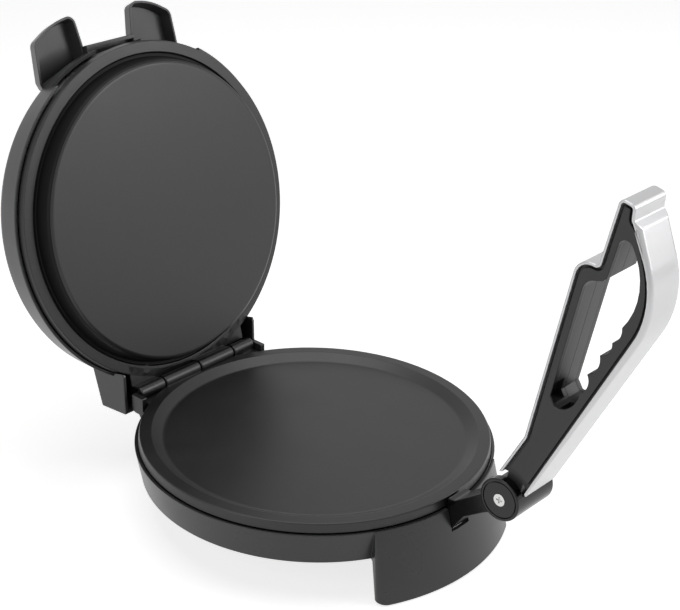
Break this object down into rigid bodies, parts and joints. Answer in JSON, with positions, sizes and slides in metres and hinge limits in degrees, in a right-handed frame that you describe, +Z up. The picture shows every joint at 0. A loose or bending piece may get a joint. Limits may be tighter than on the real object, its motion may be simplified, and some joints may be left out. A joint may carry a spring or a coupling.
{
  "type": "electric roti maker",
  "caption": "Countertop flatbread press with a recessed pan, a hinged heated lid with two lugs, and a press lever on a front clevis.",
  "frame": {"origin": "on the surface it stands on, under the centre of the pan", "axes": "+X right, -Y front with the press lever, +Y the hinge side, +Z up"},
  "size_m": [0.288, 0.5499, 0.3571],
  "materials": {
    "base_plastic": "satin black moulded plastic",
    "lid_plastic": "satin black moulded plastic",
    "cover_plastic": "matte black moulded plastic",
    "rubber": "black rubber",
    "nonstick": "cast aluminium with black non-stick coating",
    "element_steel": "heat-tinted steel tube",
    "shield_metal": "bright rolled sheet",
    "screw_steel": "zinc plated",
    "black_screws": "blackened steel",
    "pin_steel": "ground steel",
    "bracket_black": "glass-filled black plastic, glossy",
    "lever_silver": "silver painted",
    "lever_dark": "dark grey satin plastic",
    "power_red": "clear red",
    "ready_green": "clear green",
    "electric": "ceramic-filled moulding"
  },
  "bodies": {
    "base": {"base_shell": "base_plastic", "bottom_cover": "cover_plastic", "rubber_feet": "rubber", "lower_plate": "nonstick", "lower_element": "element_steel", "lower_heat_shield": "shield_metal", "lower_plate_screws": "screw_steel", "cover_screws": "screw_steel", "thermostat": "screw_steel", "thermal_fuse": "screw_steel", "terminal_block": "electric", "cord_gland": "cover_plastic", "hinge_pin": "pin_steel", "pivot_bracket": "bracket_black", "bracket_screws": "screw_steel", "pivot_bolt": "pin_steel", "pivot_nut": "pin_steel", "pivot_cap_left": "bracket_black", "pivot_cap_right": "bracket_black"},
    "lid": {"lid_shell": "lid_plastic", "upper_plate": "nonstick", "upper_element": "element_steel", "upper_heat_shield": "shield_metal", "shield_screws": "screw_steel", "tab_screws": "black_screws", "upper_thermostat": "screw_steel", "power_lens": "power_red", "ready_lens": "ready_green", "lamp_holder": "electric"},
    "lever": {"lever_cover": "lever_silver", "lever_half_left": "lever_dark", "lever_half_right": "lever_dark", "lever_bushing": "pin_steel", "lever_screws": "screw_steel"}
  },
  "joints": [
    {"name": "lid_hinge", "type": "hinge", "parent": "base", "child": "lid", "pos_m": [0, 0.138, 0.0675], "axis": [1, 0, 0], "range_deg": [0, 103.2]},
    {"name": "lever_pivot", "type": "hinge", "parent": "base", "child": "lever", "pos_m": [0, -0.1962, 0.0933], "axis": [1, 0, 0], "range_deg": [-82, 0]}
  ]
}
